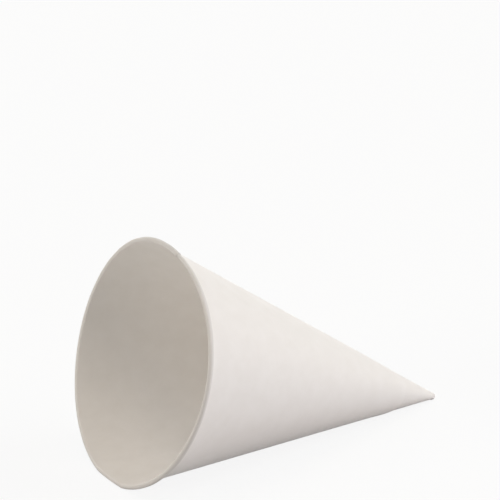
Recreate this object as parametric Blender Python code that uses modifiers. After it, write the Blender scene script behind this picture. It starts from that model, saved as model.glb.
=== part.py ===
# Cone paper cup, lying on its side.
# One sheet of paper is wound a little over twice round a cone, its rim is rolled
# outwards into a hollow bead, and its point is pressed into a small blunt nib.
# Units are metres, +Z is up. The cup rests on its nib and on the bead, point towards +X.

import bpy
import numpy as np
from mathutils import Vector
from math import asin, atan2, hypot, radians

# Driving dimensions of the cup
mouth_diameter = 0.070     # across the outside of the bead
cone_height = 0.0963       # from the top of the bead to the point that the wall aims at
bead_diameter = 0.0014     # outside diameter of the rolled rim
tip_radius = 0.0011        # radius of the pressed nib, flush with two plies of the wall

# The sheet
paper = 0.00014            # thickness of one ply
glue_gap = 0.00003         # left between two plies
curl_turn = radians(270)   # how far the rim is rolled round

# Shape of the mouth: a soft cup is never quite round
oval_share = 0.048         # wider across than it is high
oval_turn = radians(95.5)  # where the wide way points, from straight down towards -Y
egg_share = 0.008          # blunter on one side
egg_turn = radians(116)
seat_width = 0.0135        # the rim is pressed this straight where it rests on the table
seat_turn = radians(5)

# Edges of the outer ply. Each is a straight cut in the flat sheet, so round the cone
# it follows slant = distance / sin(flat angle left to the direction that it runs to).
belt_distance = 0.0156     # the cut across the tip
belt_nearest = radians(124)
tab_distance = 0.0005      # the cut from the belt down to the point
tab_direction = radians(24.5)
lap_distance = 0.0039      # the lap's free edge, from the belt up to the rim
lap_direction = radians(207)

# Winding: angles run round the cone from straight down towards -Y
wind_start = radians(-187.5)
wind_turns = radians(750)
wind_step = radians(5)
climb_turn = radians(30)   # in which each turn climbs over the sheet's first edge

# Finish of the mesh
curl_steps = 10
wall_step_shares = (0.0, 0.35, 0.7, 1.0)
nib_segments = 24
nib_rings = 12
flat_depth = 0.00003       # how far the bead is pressed flat by the table

ply_pitch = paper + glue_gap
curl_radius = (bead_diameter - paper) / 2   # of the innermost ply, at mid-thickness
centre_radius = (mouth_diameter - bead_diameter) / 2
centre_height = cone_height - bead_diameter / 2
half_angle = (atan2(centre_radius, centre_height)
              - asin(curl_radius / hypot(centre_radius, centre_height)))
rim_slant = (centre_radius ** 2 + centre_height ** 2 - curl_radius ** 2) ** 0.5
nib_height = (tip_radius - 2 * ply_pitch) / np.sin(half_angle)
tip_slant = nib_height * np.cos(half_angle)
seat_reach = asin(seat_width / (mouth_diameter - bead_diameter))


def oval_angle(turn):
    """Half angle of the oval cone at each angle round it."""
    oval = oval_share * np.cos(2 * (turn - oval_turn))
    egg = egg_share * np.cos(3 * (turn - egg_turn))
    return half_angle * (1 + oval + egg)


def wall_angle(turn):
    """The same, with the wall pressed flat in a narrow sector above the seat."""
    beside = np.cos(turn - seat_turn)
    flat = np.tan(oval_angle(seat_turn)) * np.cos(seat_reach)
    pressed = np.arctan2(flat, beside)
    return np.minimum(oval_angle(turn), pressed)


def ruling(turn):
    """Unit vectors up the wall and square to it, outwards, at each angle."""
    slope = wall_angle(turn)
    up = np.stack([np.sin(slope) * np.cos(turn), np.sin(slope) * np.sin(turn), np.cos(slope)], -1)
    out = np.stack([np.cos(slope) * np.cos(turn), np.cos(slope) * np.sin(turn), -np.sin(slope)], -1)
    return up, out


def cut_slant(turn, distance, direction):
    """Slant from the point to a straight cut that ends up running in a direction."""
    left = np.clip((direction - turn) * np.sin(half_angle), 0, np.pi / 2)
    return distance / np.maximum(np.sin(left), distance / rim_slant)


def ply_lift(wound):
    """Height above the first ply: a turn lies flat, then climbs onto the next level."""
    turns, rest = np.divmod(wound + wind_step / 2, 2 * np.pi)
    climb = np.clip((rest - wind_step / 2 - 2 * np.pi) / climb_turn + 1, 0, 1)
    return ply_pitch * (turns + climb)


def lower_edge(wound):
    """Slant at which the sheet begins, for each wound angle."""
    turn = wound + wind_start - 2 * np.pi
    belt = belt_distance / np.cos((turn - belt_nearest) * np.sin(half_angle))
    tab = cut_slant(turn, tab_distance, tab_direction)
    lap = cut_slant(turn, lap_distance, lap_direction)
    outer = np.maximum(np.where(turn < belt_nearest, np.minimum(tab, belt), belt), lap)
    outermost = wound > wind_turns - 2 * np.pi
    edge = np.where(outermost, np.maximum(outer, tip_slant), tip_slant)
    return np.minimum(edge, rim_slant - bead_diameter)


def sheet_points():
    """Middle of the sheet: straight up the wall, then round the bead."""
    count = round(wind_turns / wind_step)
    wound = wind_step * np.arange(count + 1)
    lift = ply_lift(wound)
    up, out = ruling(wound + wind_start)
    low = lower_edge(wound)
    share = np.array(wall_step_shares)[:, None]
    slant = low + (rim_slant - low) * share
    wall = slant[..., None] * up + lift[:, None] * out
    curl = (curl_turn * np.arange(1, curl_steps + 1) / curl_steps)[:, None]
    radius = curl_radius - lift
    centre = rim_slant * up + curl_radius * out
    bead = (centre - (radius * np.cos(curl))[..., None] * out + (radius * np.sin(curl))[..., None] * up)
    return np.concatenate([wall, bead])


def bead_seat():
    """Both ends of the seat on the bead's centre line."""
    up, out = ruling(seat_turn + seat_reach * np.array([-1, 1]))
    return rim_slant * up + curl_radius * out


def lay_down():
    """Turn and lift that bring the bead's flat and the nib down onto the table."""
    seat = bead_seat()
    nib = np.array([0, 0, nib_height])
    across = seat[1] - seat[0]
    across = across / np.linalg.norm(across)
    along = seat.mean(0) - nib
    along = along - along.dot(across) * across
    length = np.linalg.norm(along)
    along = along / length
    side = np.cross(across, along)
    side = side * -np.sign(side[2])
    lean = (tip_radius - bead_diameter / 2 + flat_depth) / length
    down = lean * along + (1 - lean ** 2) ** 0.5 * side
    ahead = along.dot(down) * down - along
    ahead = ahead / np.linalg.norm(ahead)
    axes = np.stack([ahead, np.cross(-down, ahead), -down])
    drop = axes[2].dot(nib) - tip_radius
    return axes, drop


def clear_scene():
    for thing in list(bpy.data.objects):
        bpy.data.objects.remove(thing, do_unlink=True)


def new_collection(name):
    collection = bpy.data.collections.new(name)
    bpy.context.scene.collection.children.link(collection)
    return collection


def paper_material():
    """Plain white uncoated paper."""
    material = bpy.data.materials.new("white_paper")
    material.use_nodes = True
    shader = material.node_tree.nodes["Principled BSDF"]
    shader.inputs["Base Color"].default_value = (0.86, 0.84, 0.82, 1)
    shader.inputs["Roughness"].default_value = 0.85
    shader.inputs["Metallic"].default_value = 0
    return material


def move_to(thing, collection):
    for old in thing.users_collection:
        old.objects.unlink(thing)
    collection.objects.link(thing)


def wound_sheet(collection, axes, drop):
    """The wound sheet as an open surface, given its thickness by Solidify."""
    points = sheet_points()
    rows, columns = points.shape[:2]
    placed = points.reshape(-1, 3) @ axes.T - np.array([0, 0, drop])
    grid = np.arange(rows * columns).reshape(rows, columns)
    corners = [grid[:-1, :-1], grid[:-1, 1:], grid[1:, 1:], grid[1:, :-1]]
    faces = np.stack(corners, -1).reshape(-1, 4)
    mesh = bpy.data.meshes.new("paper_cone")
    mesh.from_pydata(placed.tolist(), [], faces.tolist())
    sheet = bpy.data.objects.new("paper_cone", mesh)
    collection.objects.link(sheet)
    thickness = sheet.modifiers.new("paper", "SOLIDIFY")
    thickness.thickness = paper
    thickness.offset = 0
    thickness.use_even_offset = True
    thickness.use_quality_normals = True
    return sheet


def pressed_nib(cutters, axes, drop):
    """The blunt tip, where the wound point is pressed into a bead of solid paper."""
    centre = axes @ np.array([0, 0, nib_height]) - np.array([0, 0, drop])
    bpy.ops.mesh.primitive_uv_sphere_add(
        segments=nib_segments, ring_count=nib_rings, radius=tip_radius, location=centre.tolist())
    nib = bpy.context.object
    nib.name = "pressed_nib"
    move_to(nib, cutters)
    return nib


def table_block(cutters):
    """Everything below the table's surface, which flattens the bead that lies on it."""
    size = 4 * cone_height
    bpy.ops.mesh.primitive_cube_add(size=size, location=(0, 0, -size / 2))
    block = bpy.context.object
    block.name = "table_block"
    move_to(block, cutters)
    return block


def combine(target, tool, operation):
    modifier = target.modifiers.new(tool.name, "BOOLEAN")
    modifier.operation = operation
    modifier.object = tool
    modifier.solver = "EXACT"
    tool.hide_render = True
    tool.display_type = "WIRE"


def centre_on_origin(thing):
    """Bring the middle of the cup's footprint to the origin."""
    bpy.context.view_layer.update()
    shape = thing.evaluated_get(bpy.context.evaluated_depsgraph_get())
    corners = np.array([list(corner) for corner in shape.bound_box])
    middle = (corners.min(0) + corners.max(0)) / 2
    return Vector((-middle[0], -middle[1], 0))


def build_cup():
    clear_scene()
    cup_parts = new_collection("cone_paper_cup")
    cutters = new_collection("cutters")
    axes, drop = lay_down()
    cup = wound_sheet(cup_parts, axes, drop)
    cup.data.materials.append(paper_material())
    nib = pressed_nib(cutters, axes, drop)
    block = table_block(cutters)
    combine(cup, block, "DIFFERENCE")
    combine(cup, nib, "UNION")
    shift = centre_on_origin(cup)
    for thing in (cup, nib, block):
        thing.location += shift
    cup.data.shade_smooth()
    cup.data.set_sharp_from_angle(angle=radians(40))


build_cup()
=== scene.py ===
import bpy
import numpy as np
from mathutils import Matrix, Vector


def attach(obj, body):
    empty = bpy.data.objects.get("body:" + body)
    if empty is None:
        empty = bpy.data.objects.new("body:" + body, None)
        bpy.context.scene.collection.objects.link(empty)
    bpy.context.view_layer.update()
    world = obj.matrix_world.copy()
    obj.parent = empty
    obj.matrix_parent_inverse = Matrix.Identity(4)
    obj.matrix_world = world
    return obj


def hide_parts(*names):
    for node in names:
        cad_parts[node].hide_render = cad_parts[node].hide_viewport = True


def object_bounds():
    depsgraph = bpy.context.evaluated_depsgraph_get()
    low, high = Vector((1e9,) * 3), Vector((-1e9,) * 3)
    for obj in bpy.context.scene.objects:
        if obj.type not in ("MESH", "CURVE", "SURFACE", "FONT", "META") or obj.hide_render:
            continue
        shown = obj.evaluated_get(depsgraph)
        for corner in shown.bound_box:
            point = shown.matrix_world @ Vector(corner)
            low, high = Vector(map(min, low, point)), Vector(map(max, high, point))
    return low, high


# A cone cup of white paper, lying on its side on a white table.
# Lengths are in metres, and the dictionaries' angles in degrees. A turn is measured round the cone,
# from straight down towards -Y.

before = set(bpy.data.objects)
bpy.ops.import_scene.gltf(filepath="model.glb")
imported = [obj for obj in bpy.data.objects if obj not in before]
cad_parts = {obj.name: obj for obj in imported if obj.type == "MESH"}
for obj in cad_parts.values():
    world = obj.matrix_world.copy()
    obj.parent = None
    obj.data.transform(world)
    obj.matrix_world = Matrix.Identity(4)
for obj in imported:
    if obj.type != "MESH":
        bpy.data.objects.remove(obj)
cadLow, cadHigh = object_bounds()
print("frame loaded, box in mm:", [round(1000 * side, 1) for side in cadHigh - cadLow])

coneForm = {
    "mouthAcross": 0.070,      # outside of the rolled rim
    "height": 0.0963,          # top of the rim to the point that the wall aims at
    "tipRadius": 0.0011,       # blunt end, pressed solid
    "oval": 0.048, "ovalTurn": 95.5,        # wider across than it is high
    "egg": 0.008, "eggTurn": 116.0,         # blunter on one side
    "seatWidth": 0.0135, "seatTurn": 5.0,   # rim pressed straight where it rests
    "pressed": 0.00003,        # how far the rim is flattened by the table
    # slow swells of the soft wall: waves round the cone, waves up it, height, phase
    "swells": [(3, 0.5, 0.00006, 40.0), (5, 1.0, 0.00004, 150.0), (8, 1.5, 0.00002, 260.0)],
}

paperSheet = {
    "ply": 0.00014, "glueGap": 0.00003,     # thickness of the paper, and what is left between two plies
    "windStart": -187.5, "windTurns": 750.0,        # where it begins, and how far it is wound
    "climb": 30.0,             # in which each turn climbs over the sheet's first edge
    "beltCut": 0.0156, "beltTurn": 124.0,   # straight cut across the tip, and where it comes nearest
    "tabCut": 0.0005, "tabTurn": 24.5,      # cut from the belt down to the point
    "lapCut": 0.0039, "lapTurn": 207.0,     # the lap's free edge, up to the rim
    # the outer ply bulges a little beside its cut edge, most at one turn, and comes in over a few degrees
    "bulgeSlope": 0.09, "bulgeReach": 0.008, "bulgeTurn": 60.0, "bulgeEven": 0.55, "bulgeStart": 10.0,
    "stepsRound": 500, "stepsUp": 34,
    "crowding": 1.3,           # power that crowds the steps up the wall towards its lower edge
    "mapPerMetre": 10.0,       # units of the flat sheet's own map in a metre
}

rolledRim = {
    "bead": 0.0014,            # outside diameter of the roll
    "curl": 285.0,             # how far the paper is rolled, short of the wall where three plies meet
    "uneven": 0.03, "waves": [(7, 20.0), (16, 110.0), (31, 200.0)],     # ripples of the bead's size
    "calm": 0.0042,            # length of wall below the roll in which swells and bulges die away
    "stepsCurl": 26,
}

plyPitch = paperSheet["ply"] + paperSheet["glueGap"]
curlRadius = (rolledRim["bead"] - paperSheet["ply"]) / 2
centreRadius = (coneForm["mouthAcross"] - rolledRim["bead"]) / 2
centreHeight = coneForm["height"] - rolledRim["bead"] / 2
halfAngle = (np.arctan2(centreRadius, centreHeight)
             - np.arcsin(curlRadius / np.hypot(centreRadius, centreHeight)))
rimSlant = np.sqrt(centreRadius ** 2 + centreHeight ** 2 - curlRadius ** 2)
tipHeight = (coneForm["tipRadius"] - 2 * plyPitch) / np.sin(halfAngle)
tipSlant = tipHeight * np.cos(halfAngle)
seatTurn = np.radians(coneForm["seatTurn"])
seatReach = np.arcsin(coneForm["seatWidth"] / (coneForm["mouthAcross"] - rolledRim["bead"]))
windStart = np.radians(paperSheet["windStart"])
tinyTurn = 1e-6                # keeps rounding from counting a whole turn as one less
sharpFrom = 38.0               # edges that bend by more than this stay sharp


# mean half angle times 1 + oval * cos 2(turn - ovalTurn) + egg * cos 3(turn - eggTurn)
def ovalAngle(turn):
    oval = coneForm["oval"] * np.cos(2 * (turn - np.radians(coneForm["ovalTurn"])))
    egg = coneForm["egg"] * np.cos(3 * (turn - np.radians(coneForm["eggTurn"])))
    return halfAngle * (1 + oval + egg)


# the same, but no wider than a plane through the point: tan(angle) = flat / cos(turn - seatTurn)
def wallAngle(turn):
    flat = np.tan(ovalAngle(seatTurn)) * np.cos(seatReach)
    return np.minimum(ovalAngle(turn), np.arctan2(flat, np.cos(turn - seatTurn)))


# unit vectors up the wall, and square to it outwards, as spherical coordinates give them
def rulings(turn):
    angle = wallAngle(turn)
    up = np.stack([np.sin(angle) * np.cos(turn), np.sin(angle) * np.sin(turn), np.cos(angle)], -1)
    out = np.stack([np.cos(angle) * np.cos(turn), np.cos(angle) * np.sin(turn), -np.sin(angle)], -1)
    return up, out


# a straight cut of the flat sheet: slant = distance / sin(flat angle left to where the cut is heading)
def cutSlant(turn, distance, heading):
    left = np.clip((np.radians(heading) - turn) * np.sin(halfAngle), 0, np.pi / 2)
    return distance / np.maximum(np.sin(left), distance / rimSlant)


# height above the first ply: whole turns * pitch, and one more pitch in a ramp over each turn's last degrees
def plyLift(wound):
    turns, rest = np.divmod(wound + tinyTurn, 2 * np.pi)
    climb = np.clip((rest - 2 * np.pi) / np.radians(paperSheet["climb"]) + 1, 0, 1)
    return plyPitch * (turns + climb)


# where the sheet begins: at the point, and at the belt, tab and lap cuts in its outermost turn
def lowerEdge(wound):
    turn = wound + windStart - 2 * np.pi
    beltTurn = np.radians(paperSheet["beltTurn"])
    belt = paperSheet["beltCut"] / np.cos((turn - beltTurn) * np.sin(halfAngle))
    tab = cutSlant(turn, paperSheet["tabCut"], paperSheet["tabTurn"])
    lap = cutSlant(turn, paperSheet["lapCut"], paperSheet["lapTurn"])
    outer = np.maximum(np.where(turn < beltTurn, np.minimum(tab, belt), belt), lap)
    outermost = wound > np.radians(paperSheet["windTurns"]) - 2 * np.pi
    edge = np.where(outermost, np.maximum(outer, tipSlant), tipSlant)
    return np.minimum(edge, rimSlant - rolledRim["bead"])


# sum of height * sin(around * turn + phase) * sin(along * pi * share), times share, the share of the slant
def swell(turn, slant):
    share = slant / rimSlant
    total = np.zeros(np.broadcast(turn, slant).shape)
    for around, along, height, phase in coneForm["swells"]:
        total += height * np.sin(around * turn + np.radians(phase)) * np.sin(along * np.pi * share)
    return total * share


# a bulge beside a cut edge: slope * reach * t * (1 - t)^2 * (even + (1 - even) * cos(turn - bulgeTurn)),
# t being the way past the edge as a share of the reach
def edgeBulge(turn, past):
    along = np.clip(past / paperSheet["bulgeReach"], 0, 1)
    even = paperSheet["bulgeEven"]
    around = even + (1 - even) * np.cos(turn - np.radians(paperSheet["bulgeTurn"]))
    return paperSheet["bulgeSlope"] * paperSheet["bulgeReach"] * along * (1 - along) ** 2 * around


# middle of the sheet, with its place in the flat sheet.
# Wall: slant * up + offset * out, where the offset is the lift, the swells and the outer ply's bulge.
# Bead: the wall's end rolled outwards, centre - radius * cos(curl) * out + radius * sin(curl) * up.
# Flat: reach * (cos, sin) of wound * sin(half angle), the reach being the slant and then the length rolled up
def sheetMiddle():
    wound = np.radians(np.linspace(0, paperSheet["windTurns"], paperSheet["stepsRound"] + 1))
    turn = wound + windStart
    up, out = rulings(turn)
    lift = plyLift(wound)
    low = lowerEdge(wound)
    share = (np.linspace(0, 1, paperSheet["stepsUp"] + 1) ** paperSheet["crowding"])[:, None]
    slant = low + (rimSlant - low) * share
    outerPly = np.clip((wound - wound[-1] + 2 * np.pi) / np.radians(paperSheet["bulgeStart"]), 0, 1)
    calm = np.clip((rimSlant - slant) / rolledRim["calm"], 0, 1)
    offset = lift + (swell(turn, slant) + edgeBulge(turn, slant - low) * outerPly) * calm
    wall = slant[..., None] * up + offset[..., None] * out
    curl = np.radians(np.linspace(0, rolledRim["curl"], rolledRim["stepsCurl"] + 1)[1:, None])
    ripple = sum(np.sin(count * turn + np.radians(phase)) for count, phase in rolledRim["waves"])
    size = 1 + rolledRim["uneven"] * ripple / len(rolledRim["waves"])
    radius = curlRadius * size - lift
    centre = rimSlant * up + curlRadius * size[:, None] * out
    bead = centre - (radius * np.cos(curl))[..., None] * out + (radius * np.sin(curl))[..., None] * up
    flat = wound * np.sin(halfAngle)
    reach = np.concatenate([slant, rimSlant + curlRadius * curl + 0 * slant[:1]])
    flatPlace = np.stack([reach * np.cos(flat), reach * np.sin(flat)], -1)
    return np.concatenate([wall, bead]), flatPlace


# a closed shell: the middle moved half a ply each way along its normal, the cross of its two tangents,
# with quads round the four edges
def paperShell(middle):
    rows, columns = middle.shape[:2]
    across = np.gradient(middle, axis=1)
    along = np.gradient(middle, axis=0)
    normal = np.cross(across, along)
    normal /= np.linalg.norm(normal, axis=-1, keepdims=True)
    halfPly = paperSheet["ply"] / 2 * normal
    points = np.concatenate([(middle + halfPly).reshape(-1, 3), (middle - halfPly).reshape(-1, 3)])
    front = np.arange(rows * columns).reshape(rows, columns)
    back = front + rows * columns
    quads = [
        quadsBetween(front[:-1, :-1], front[:-1, 1:], front[1:, 1:], front[1:, :-1]),
        quadsBetween(back[:-1, :-1], back[1:, :-1], back[1:, 1:], back[:-1, 1:]),
        quadsBetween(front[0, :-1], back[0, :-1], back[0, 1:], front[0, 1:]),
        quadsBetween(front[-1, :-1], front[-1, 1:], back[-1, 1:], back[-1, :-1]),
        quadsBetween(front[:-1, 0], front[1:, 0], back[1:, 0], back[:-1, 0]),
        quadsBetween(front[:-1, -1], back[:-1, -1], back[1:, -1], front[1:, -1]),
    ]
    return points, np.concatenate(quads)


# one quad for each place in four arrays of corner numbers
def quadsBetween(a, b, c, d):
    return np.stack([corner.ravel() for corner in (a, b, c, d)], -1)


# the axes and drop that bring the bead's seat and the tip down onto one plane, which both touch: its normal
# leans from square to the line between them by asin((tip radius - bead radius + pressed) / their distance)
def layDown():
    up, out = rulings(seatTurn + seatReach * np.array([-1, 1]))
    seat = rimSlant * up + curlRadius * out     # its two ends, on the bead's centre line
    tip = np.array([0, 0, tipHeight])
    across = seat[1] - seat[0]
    across /= np.linalg.norm(across)
    along = seat.mean(0) - tip
    along -= along.dot(across) * across
    length = np.linalg.norm(along)
    along /= length
    side = np.cross(across, along)
    side *= -np.sign(side[2])
    lean = (coneForm["tipRadius"] - rolledRim["bead"] / 2 + coneForm["pressed"]) / length
    down = lean * along + np.sqrt(1 - lean ** 2) * side
    ahead = along.dot(down) * down - along
    ahead /= np.linalg.norm(ahead)
    axes = np.stack([ahead, np.cross(-down, ahead), -down])
    drop = axes[2].dot(tip) - coneForm["tipRadius"]
    return axes, drop


pinchedTip = {
    "pinch": 0.10, "pinchTurn": 95.0,       # pinched in on two sides by this share of its radius
    "pleats": [(5, 0.035), (9, 0.02)],      # folds round it and their depth, all highest where it rests
    "steps": 72,
}


# the blunt tip, a ball whose radius is tipRadius * (1 - pinch - sin(polar) * pleats). The pinch is its share
# * cos^2(turn - pinchTurn) * sin^2(polar), and the pleats are the sum of depth * (1 - cos(folds * turn))
def tipBall():
    steps = pinchedTip["steps"]
    polar = np.linspace(0, np.pi, steps // 2 + 1)[1:-1, None]
    turn = np.linspace(0, 2 * np.pi, steps, endpoint=False)[None]
    pinchTurn = np.radians(pinchedTip["pinchTurn"])
    pinch = pinchedTip["pinch"] * np.cos(turn - pinchTurn) ** 2 * np.sin(polar) ** 2
    pleats = sum(depth * (1 - np.cos(folds * turn)) for folds, depth in pinchedTip["pleats"])
    radius = coneForm["tipRadius"] * (1 - pinch - np.sin(polar) * pleats)
    x = radius * np.sin(polar) * np.cos(turn)
    y = radius * np.sin(polar) * np.sin(turn)
    z = radius * np.cos(polar) + 0 * turn
    rings = np.stack([x, y, z], -1)
    poles = coneForm["tipRadius"] * np.array([[0, 0, 1], [0, 0, -1]])
    points = np.concatenate([rings.reshape(-1, 3), poles]) + np.array([0, 0, tipHeight])
    index = np.arange(rings.shape[0] * steps).reshape(-1, steps)
    after = np.roll(index, -1, axis=1)
    quads = quadsBetween(index[:-1], index[1:], after[1:], after[:-1])
    top, bottom = index.size, index.size + 1
    caps = [[top, a, b] for a, b in zip(index[0], after[0])]
    caps += [[bottom, b, a] for a, b in zip(index[-1], after[-1])]
    return points, quads.tolist() + caps


# an object at the origin, with the points where they belong in its mesh
def meshOf(name, points, faces):
    mesh = bpy.data.meshes.new(name)
    mesh.from_pydata(points.tolist(), [], [list(face) for face in faces])
    mesh.validate()
    thing = bpy.data.objects.new(name, mesh)
    bpy.context.scene.collection.objects.link(thing)
    return thing


# adds the tip to the cup for good, so that both are one closed skin
def joinSolid(cup, tip):
    union = cup.modifiers.new("union", "BOOLEAN")
    union.operation = "UNION"
    union.object = tip
    union.solver = "EXACT"
    bpy.context.view_layer.update()
    shape = cup.evaluated_get(bpy.context.evaluated_depsgraph_get())
    whole = bpy.data.meshes.new_from_object(shape)
    cup.modifiers.clear()
    cup.data = whole
    bpy.data.objects.remove(tip, do_unlink=True)


# points * axes - drop, and nothing below the table's surface
def laidOnTable(points, axes, drop):
    placed = points @ axes.T - np.array([0, 0, drop])
    placed[:, 2] = np.maximum(placed[:, 2], 0)
    return placed


# sheet and tip laid on the table, with the middle of their footprint where the solid's is
def makeCup():
    middle, flatPlace = sheetMiddle()
    axes, drop = layDown()
    points, quads = paperShell(middle)
    tipPoints, tipFaces = tipBall()
    sheetPlaced = laidOnTable(points, axes, drop)
    tipPlaced = laidOnTable(tipPoints, axes, drop)
    everything = np.concatenate([sheetPlaced, tipPlaced])
    middleX, middleY = (everything.min(0) + everything.max(0))[:2] / 2
    target = (cadLow + cadHigh) / 2
    shift = np.array([target.x - middleX, target.y - middleY, 0])
    cup = meshOf("wound_paper_cup", sheetPlaced + shift, quads)
    sheetMap = cup.data.uv_layers.new(name="flatSheet")
    corner = np.empty(len(cup.data.loops), np.int32)
    cup.data.loops.foreach_get("vertex_index", corner)
    onMap = np.tile(flatPlace.reshape(-1, 2), (2, 1)) * paperSheet["mapPerMetre"]     # for both faces
    sheetMap.data.foreach_set("uv", onMap[corner].astype(np.float32).ravel())
    tip = meshOf("tip", tipPlaced + shift, tipFaces)
    joinSolid(cup, tip)
    cup.data.shade_smooth()
    cup.data.set_sharp_from_angle(angle=np.radians(sharpFrom))
    return cup


paperLook = {
    "thick": (0.885, 0.861, 0.83), "thin": (0.857, 0.831, 0.796),   # between which the sheet's colour drifts
    # for each kind of grain: its size, and the noise's detail
    "cloud": (0.0045, 4.0),    # clouds that the fibres settle in
    "tooth": (0.00035, 2.0), "toothHeight": 0.00002,        # the fine grain, and its relief
    "cockle": (0.012, 1.0), "cockleHeight": 0.000016,       # the sheet's slow unevenness, and its relief
    "lumpRoughness": 0.6,
    "fibre": (0.0024, 0.00028), "fibreHeight": 0.00002,     # length and width of a streak, and its relief
    "fibreTurn": 23.0, "fibreDetail": 3.0, "fibreWander": 0.8,      # how the streaks lie in the flat sheet
    "flecks": 0.0011, "fleckColour": (0.78, 0.755, 0.72),   # distance between flecks, and their colour
    "fleckShare": 0.05, "fleckEdge": 0.25,      # how strong a fleck is, and how far it spreads
    "rolled": (0.745, 0.72, 0.69),      # painted shade on the rolled rim: a darker colour standing in for the shade round the roll
    "rolledShare": 0.9, "rolledOver": 0.0008,   # how much of it, and the length that it comes in over
    "roughness": (0.78, 0.92),          # between which it follows the streaks
    "specular": 0.35,
}


# a shader node with its settings, and links to its named sockets
def addNode(tree, kind, settings=None, **links):
    node = tree.nodes.new(kind)
    for name, value in (settings or {}).items():
        if name in node.inputs:
            node.inputs[name].default_value = value
        else:
            setattr(node, name, value)
    for name, source in links.items():
        tree.links.new(source, node.inputs[name])
    return node


# noise whose lumps have the given size in metres, with a value between 0 and 1
def lumps(tree, place, kind):
    size, detail = paperLook[kind]
    settings = {"Scale": 1 / size, "Detail": detail, "Roughness": paperLook["lumpRoughness"]}
    return addNode(tree, "ShaderNodeTexNoise", settings, Vector=place).outputs["Fac"]


# the stretch from start to end of a value, spread from low to high; most noise lies between 0.3 and 0.7
def spread(tree, value, low, high, start=0.3, end=0.7):
    settings = {"From Min": start, "From Max": end, "To Min": low, "To Max": high}
    return addNode(tree, "ShaderNodeMapRange", settings, Value=value).outputs["Result"]


# one colour over another, by a share that differs from place to place
def colourOver(tree, share, under, over):
    mix = addNode(tree, "ShaderNodeMix", {"data_type": "RGBA"})
    tree.links.new(share, mix.inputs[0])
    if isinstance(under, tuple):
        mix.inputs[6].default_value = (*under, 1)
    else:
        tree.links.new(under, mix.inputs[6])
    mix.inputs[7].default_value = (*over, 1)
    return mix.outputs[2]


# white uncoated paper: clouds and rare flecks in its colour, painted shade on the rolled rim, streaks of
# fibre laid one way in the flat sheet, a fine tooth and a slow unevenness, the last three in its relief
def whitePaper():
    material = bpy.data.materials.new("white_paper")
    material.use_nodes = True
    tree = material.node_tree
    shader = tree.nodes["Principled BSDF"]
    shader.inputs["Specular IOR Level"].default_value = paperLook["specular"]
    solid = addNode(tree, "ShaderNodeTexCoord").outputs["Object"]
    sheet = addNode(tree, "ShaderNodeUVMap", {"uv_map": "flatSheet"}).outputs["UV"]
    perMetre = paperSheet["mapPerMetre"]

    length, width = paperLook["fibre"]
    laidScale = (1 / (perMetre * length), 1 / (perMetre * width), 1)
    laidTurn = (0, 0, np.radians(paperLook["fibreTurn"]))
    laid = addNode(tree, "ShaderNodeMapping", {"Scale": laidScale, "Rotation": laidTurn}, Vector=sheet)
    wander = {"Scale": 1.0, "Detail": paperLook["fibreDetail"], "Distortion": paperLook["fibreWander"]}
    streaks = addNode(tree, "ShaderNodeTexNoise", wander, Vector=laid.outputs["Vector"]).outputs["Fac"]
    tooth = lumps(tree, solid, "tooth")
    cockle = lumps(tree, solid, "cockle")

    cloud = spread(tree, lumps(tree, solid, "cloud"), 0, 1)
    body = colourOver(tree, cloud, paperLook["thin"], paperLook["thick"])
    cells = addNode(tree, "ShaderNodeTexVoronoi", {"Scale": 1 / paperLook["flecks"]}, Vector=solid)
    fleck = spread(tree, cells.outputs["Distance"], paperLook["fleckShare"], 0, 0, paperLook["fleckEdge"])
    flecked = colourOver(tree, fleck, body, paperLook["fleckColour"])
    # how far out a place lies in the flat sheet tells the roll from the wall, and the roll is given a darker
    # colour as painted shade
    reach = addNode(tree, "ShaderNodeVectorMath", {"operation": "LENGTH"}, Vector=sheet).outputs["Value"]
    rollStart = perMetre * rimSlant
    rollFull = rollStart + perMetre * paperLook["rolledOver"]
    roll = spread(tree, reach, 0, paperLook["rolledShare"], rollStart, rollFull)
    tree.links.new(colourOver(tree, roll, flecked, paperLook["rolled"]), shader.inputs["Base Color"])
    tree.links.new(spread(tree, streaks, *paperLook["roughness"]), shader.inputs["Roughness"])

    relief = None
    for name, value in (("cockleHeight", cockle), ("fibreHeight", streaks), ("toothHeight", tooth)):
        bump = addNode(tree, "ShaderNodeBump", {"Strength": 1.0, "Distance": paperLook[name]}, Height=value)
        if relief:
            tree.links.new(relief, bump.inputs["Normal"])
        relief = bump.outputs["Normal"]
    tree.links.new(relief, shader.inputs["Normal"])
    return material


cup = makeCup()
cup.data.materials.clear()
cup.data.materials.append(whitePaper())
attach(cup, "root")
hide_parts("paper_cone")
print("cup made,", len(cup.data.polygons), "faces")

whiteTable = {
    "size": 4.0,
    "colour": (0.5, 0.5, 0.5), "roughness": 0.9,    # for the light that it sends back up to the cup
    "seenColour": (0.9, 0.9, 0.9),      # of the part of its look that takes light and shadow
    "whiteShare": 0.88,        # the rest of its look, which is plain white
}


# 1 for rays from the camera and for reflected and refracted ones, and 0 for the rest
def seenRays(tree):
    path = addNode(tree, "ShaderNodeLightPath")
    seen = path.outputs["Is Camera Ray"]
    for other in ("Is Glossy Ray", "Is Transmission Ray"):
        more = addNode(tree, "ShaderNodeMath", {"operation": "MAXIMUM"})
        tree.links.new(seen, more.inputs[0])
        tree.links.new(path.outputs[other], more.inputs[1])
        seen = more.outputs[0]
    return seen


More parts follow.
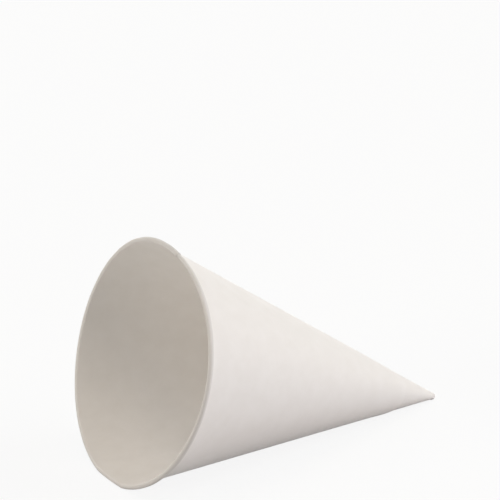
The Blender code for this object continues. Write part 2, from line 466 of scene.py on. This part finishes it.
# a flat square, seen as nearly white with the cup's faint shadow
def makeTable():
    half = whiteTable["size"] / 2
    corners = np.array([[-half, -half, 0], [half, -half, 0], [half, half, 0], [-half, half, 0]])
    table = meshOf("white_table", corners, [[0, 1, 2, 3]])
    material = bpy.data.materials.new("table_white")
    material.use_nodes = True
    tree = material.node_tree
    shader = tree.nodes["Principled BSDF"]
    shader.inputs["Base Color"].default_value = (*whiteTable["colour"], 1)
    shader.inputs["Roughness"].default_value = whiteTable["roughness"]
    lit = addNode(tree, "ShaderNodeBsdfDiffuse", {"Color": (*whiteTable["seenColour"], 1)})
    white = addNode(tree, "ShaderNodeEmission", {"Color": (1, 1, 1, 1), "Strength": 1.0})
    seen = addNode(tree, "ShaderNodeMixShader", {"Fac": whiteTable["whiteShare"]})
    tree.links.new(lit.outputs[0], seen.inputs[1])
    tree.links.new(white.outputs[0], seen.inputs[2])
    both = addNode(tree, "ShaderNodeMixShader")
    tree.links.new(seenRays(tree), both.inputs["Fac"])
    tree.links.new(shader.outputs[0], both.inputs[1])
    tree.links.new(seen.outputs[0], both.inputs[2])
    tree.links.new(both.outputs[0], tree.nodes["Material Output"].inputs["Surface"])
    table.data.materials.append(material)
    return table


makeTable()
print("table made")

studioLight = {
    "surround": 0.02,          # light from all round, on top of the lamps
    "soft": 30.0,              # degrees across each lamp, as the cup sees it
    # name, turn from +X towards +Y, height above the table, strength on a face turned to it, colour
    "lamps": [
        ("left", 180.0, 12.0, 0.345, (1.08, 1.0, 0.92)),
        ("front_right", 315.0, 12.0, 0.495, (1.05, 0.96, 0.99)),
        ("right", 337.5, 35.0, 0.27, (0.91, 1.05, 1.05)),
        ("back_above", 120.0, 60.0, 0.085, (0.97, 1.0, 1.04)),
        ("left_above", 180.0, 60.0, 0.165, (1.0, 1.0, 1.0)),
        ("above", 0.0, 88.0, 0.165, (1.16, 1.01, 0.83)),
        ("behind", 75.0, 14.0, 0.34, (1.0, 1.0, 1.0)),      # fills the side that the photo doesn't show
    ],
}


# a white surround and the lamps: suns, so that each keeps its strength wherever the cup stands
def makeLights():
    world = bpy.data.worlds.new("studio")
    bpy.context.scene.world = world
    world.use_nodes = True
    tree = world.node_tree
    tree.nodes.clear()
    plain = (1, 1, 1, 1)
    around = addNode(tree, "ShaderNodeBackground", {"Color": plain, "Strength": studioLight["surround"]})
    white = addNode(tree, "ShaderNodeBackground", {"Color": plain, "Strength": 1.0})
    both = addNode(tree, "ShaderNodeMixShader")
    out = addNode(tree, "ShaderNodeOutputWorld")
    tree.links.new(seenRays(tree), both.inputs["Fac"])
    tree.links.new(around.outputs[0], both.inputs[1])
    tree.links.new(white.outputs[0], both.inputs[2])
    tree.links.new(both.outputs[0], out.inputs["Surface"])
    for name, turnDegrees, heightDegrees, strength, colour in studioLight["lamps"]:
        turn, height = np.radians(turnDegrees), np.radians(heightDegrees)
        back = np.array([np.cos(height) * np.cos(turn), np.cos(height) * np.sin(turn), np.sin(height)])
        lamp = bpy.data.lights.new(name, "SUN")
        lamp.energy = np.pi * strength      # a white face then renders at the strength
        lamp.angle = np.radians(studioLight["soft"])
        lamp.color = colour
        holder = bpy.data.objects.new(name, lamp)
        bpy.context.scene.collection.objects.link(holder)
        holder.matrix_world = lookFrom(back, -back)


# a matrix that stands at a place and looks along a unit vector, upright but for a roll in degrees
def lookFrom(place, way, roll=0.0):
    level = np.cross(way, [0, 0, 1])
    level /= np.linalg.norm(level)
    upright = np.cross(level, way)
    spin = np.radians(roll)
    right = np.cos(spin) * level + np.sin(spin) * upright
    above = np.cos(spin) * upright - np.sin(spin) * level
    matrix = np.eye(4)
    matrix[:3, :3] = np.stack([right, above, -way], 1)
    matrix[:3, 3] = place
    return Matrix(matrix.tolist())


makeLights()
print("lights made")

photoView = {
    "heading": 26.861,         # from +Y towards +X
    "downwards": 19.682,       # below level
    "roll": -3.075,
    "place": (-0.459707, -0.898747, 0.416154),      # from the frame's origin
    "lens": 288.0, "sensor": 36.0,      # millimetres
    "nearest": 0.05, "furthest": 20.0,  # what it draws
}


# stands where the photograph was taken from, as fitted to the cup's outline in it
def makeCamera():
    heading, down = np.radians(photoView["heading"]), np.radians(photoView["downwards"])
    way = np.array([np.sin(heading) * np.cos(down), np.cos(heading) * np.cos(down), -np.sin(down)])
    camera = bpy.data.cameras.new("photo_view")
    camera.sensor_width = photoView["sensor"]
    camera.lens = photoView["lens"]
    camera.clip_start = photoView["nearest"]
    camera.clip_end = photoView["furthest"]
    holder = bpy.data.objects.new("photo_view", camera)
    bpy.context.scene.collection.objects.link(holder)
    holder.matrix_world = lookFrom(photoView["place"], way, photoView["roll"])
    bpy.context.scene.camera = holder


makeCamera()
bpy.context.scene.view_settings.view_transform = "Standard"
print("camera made")
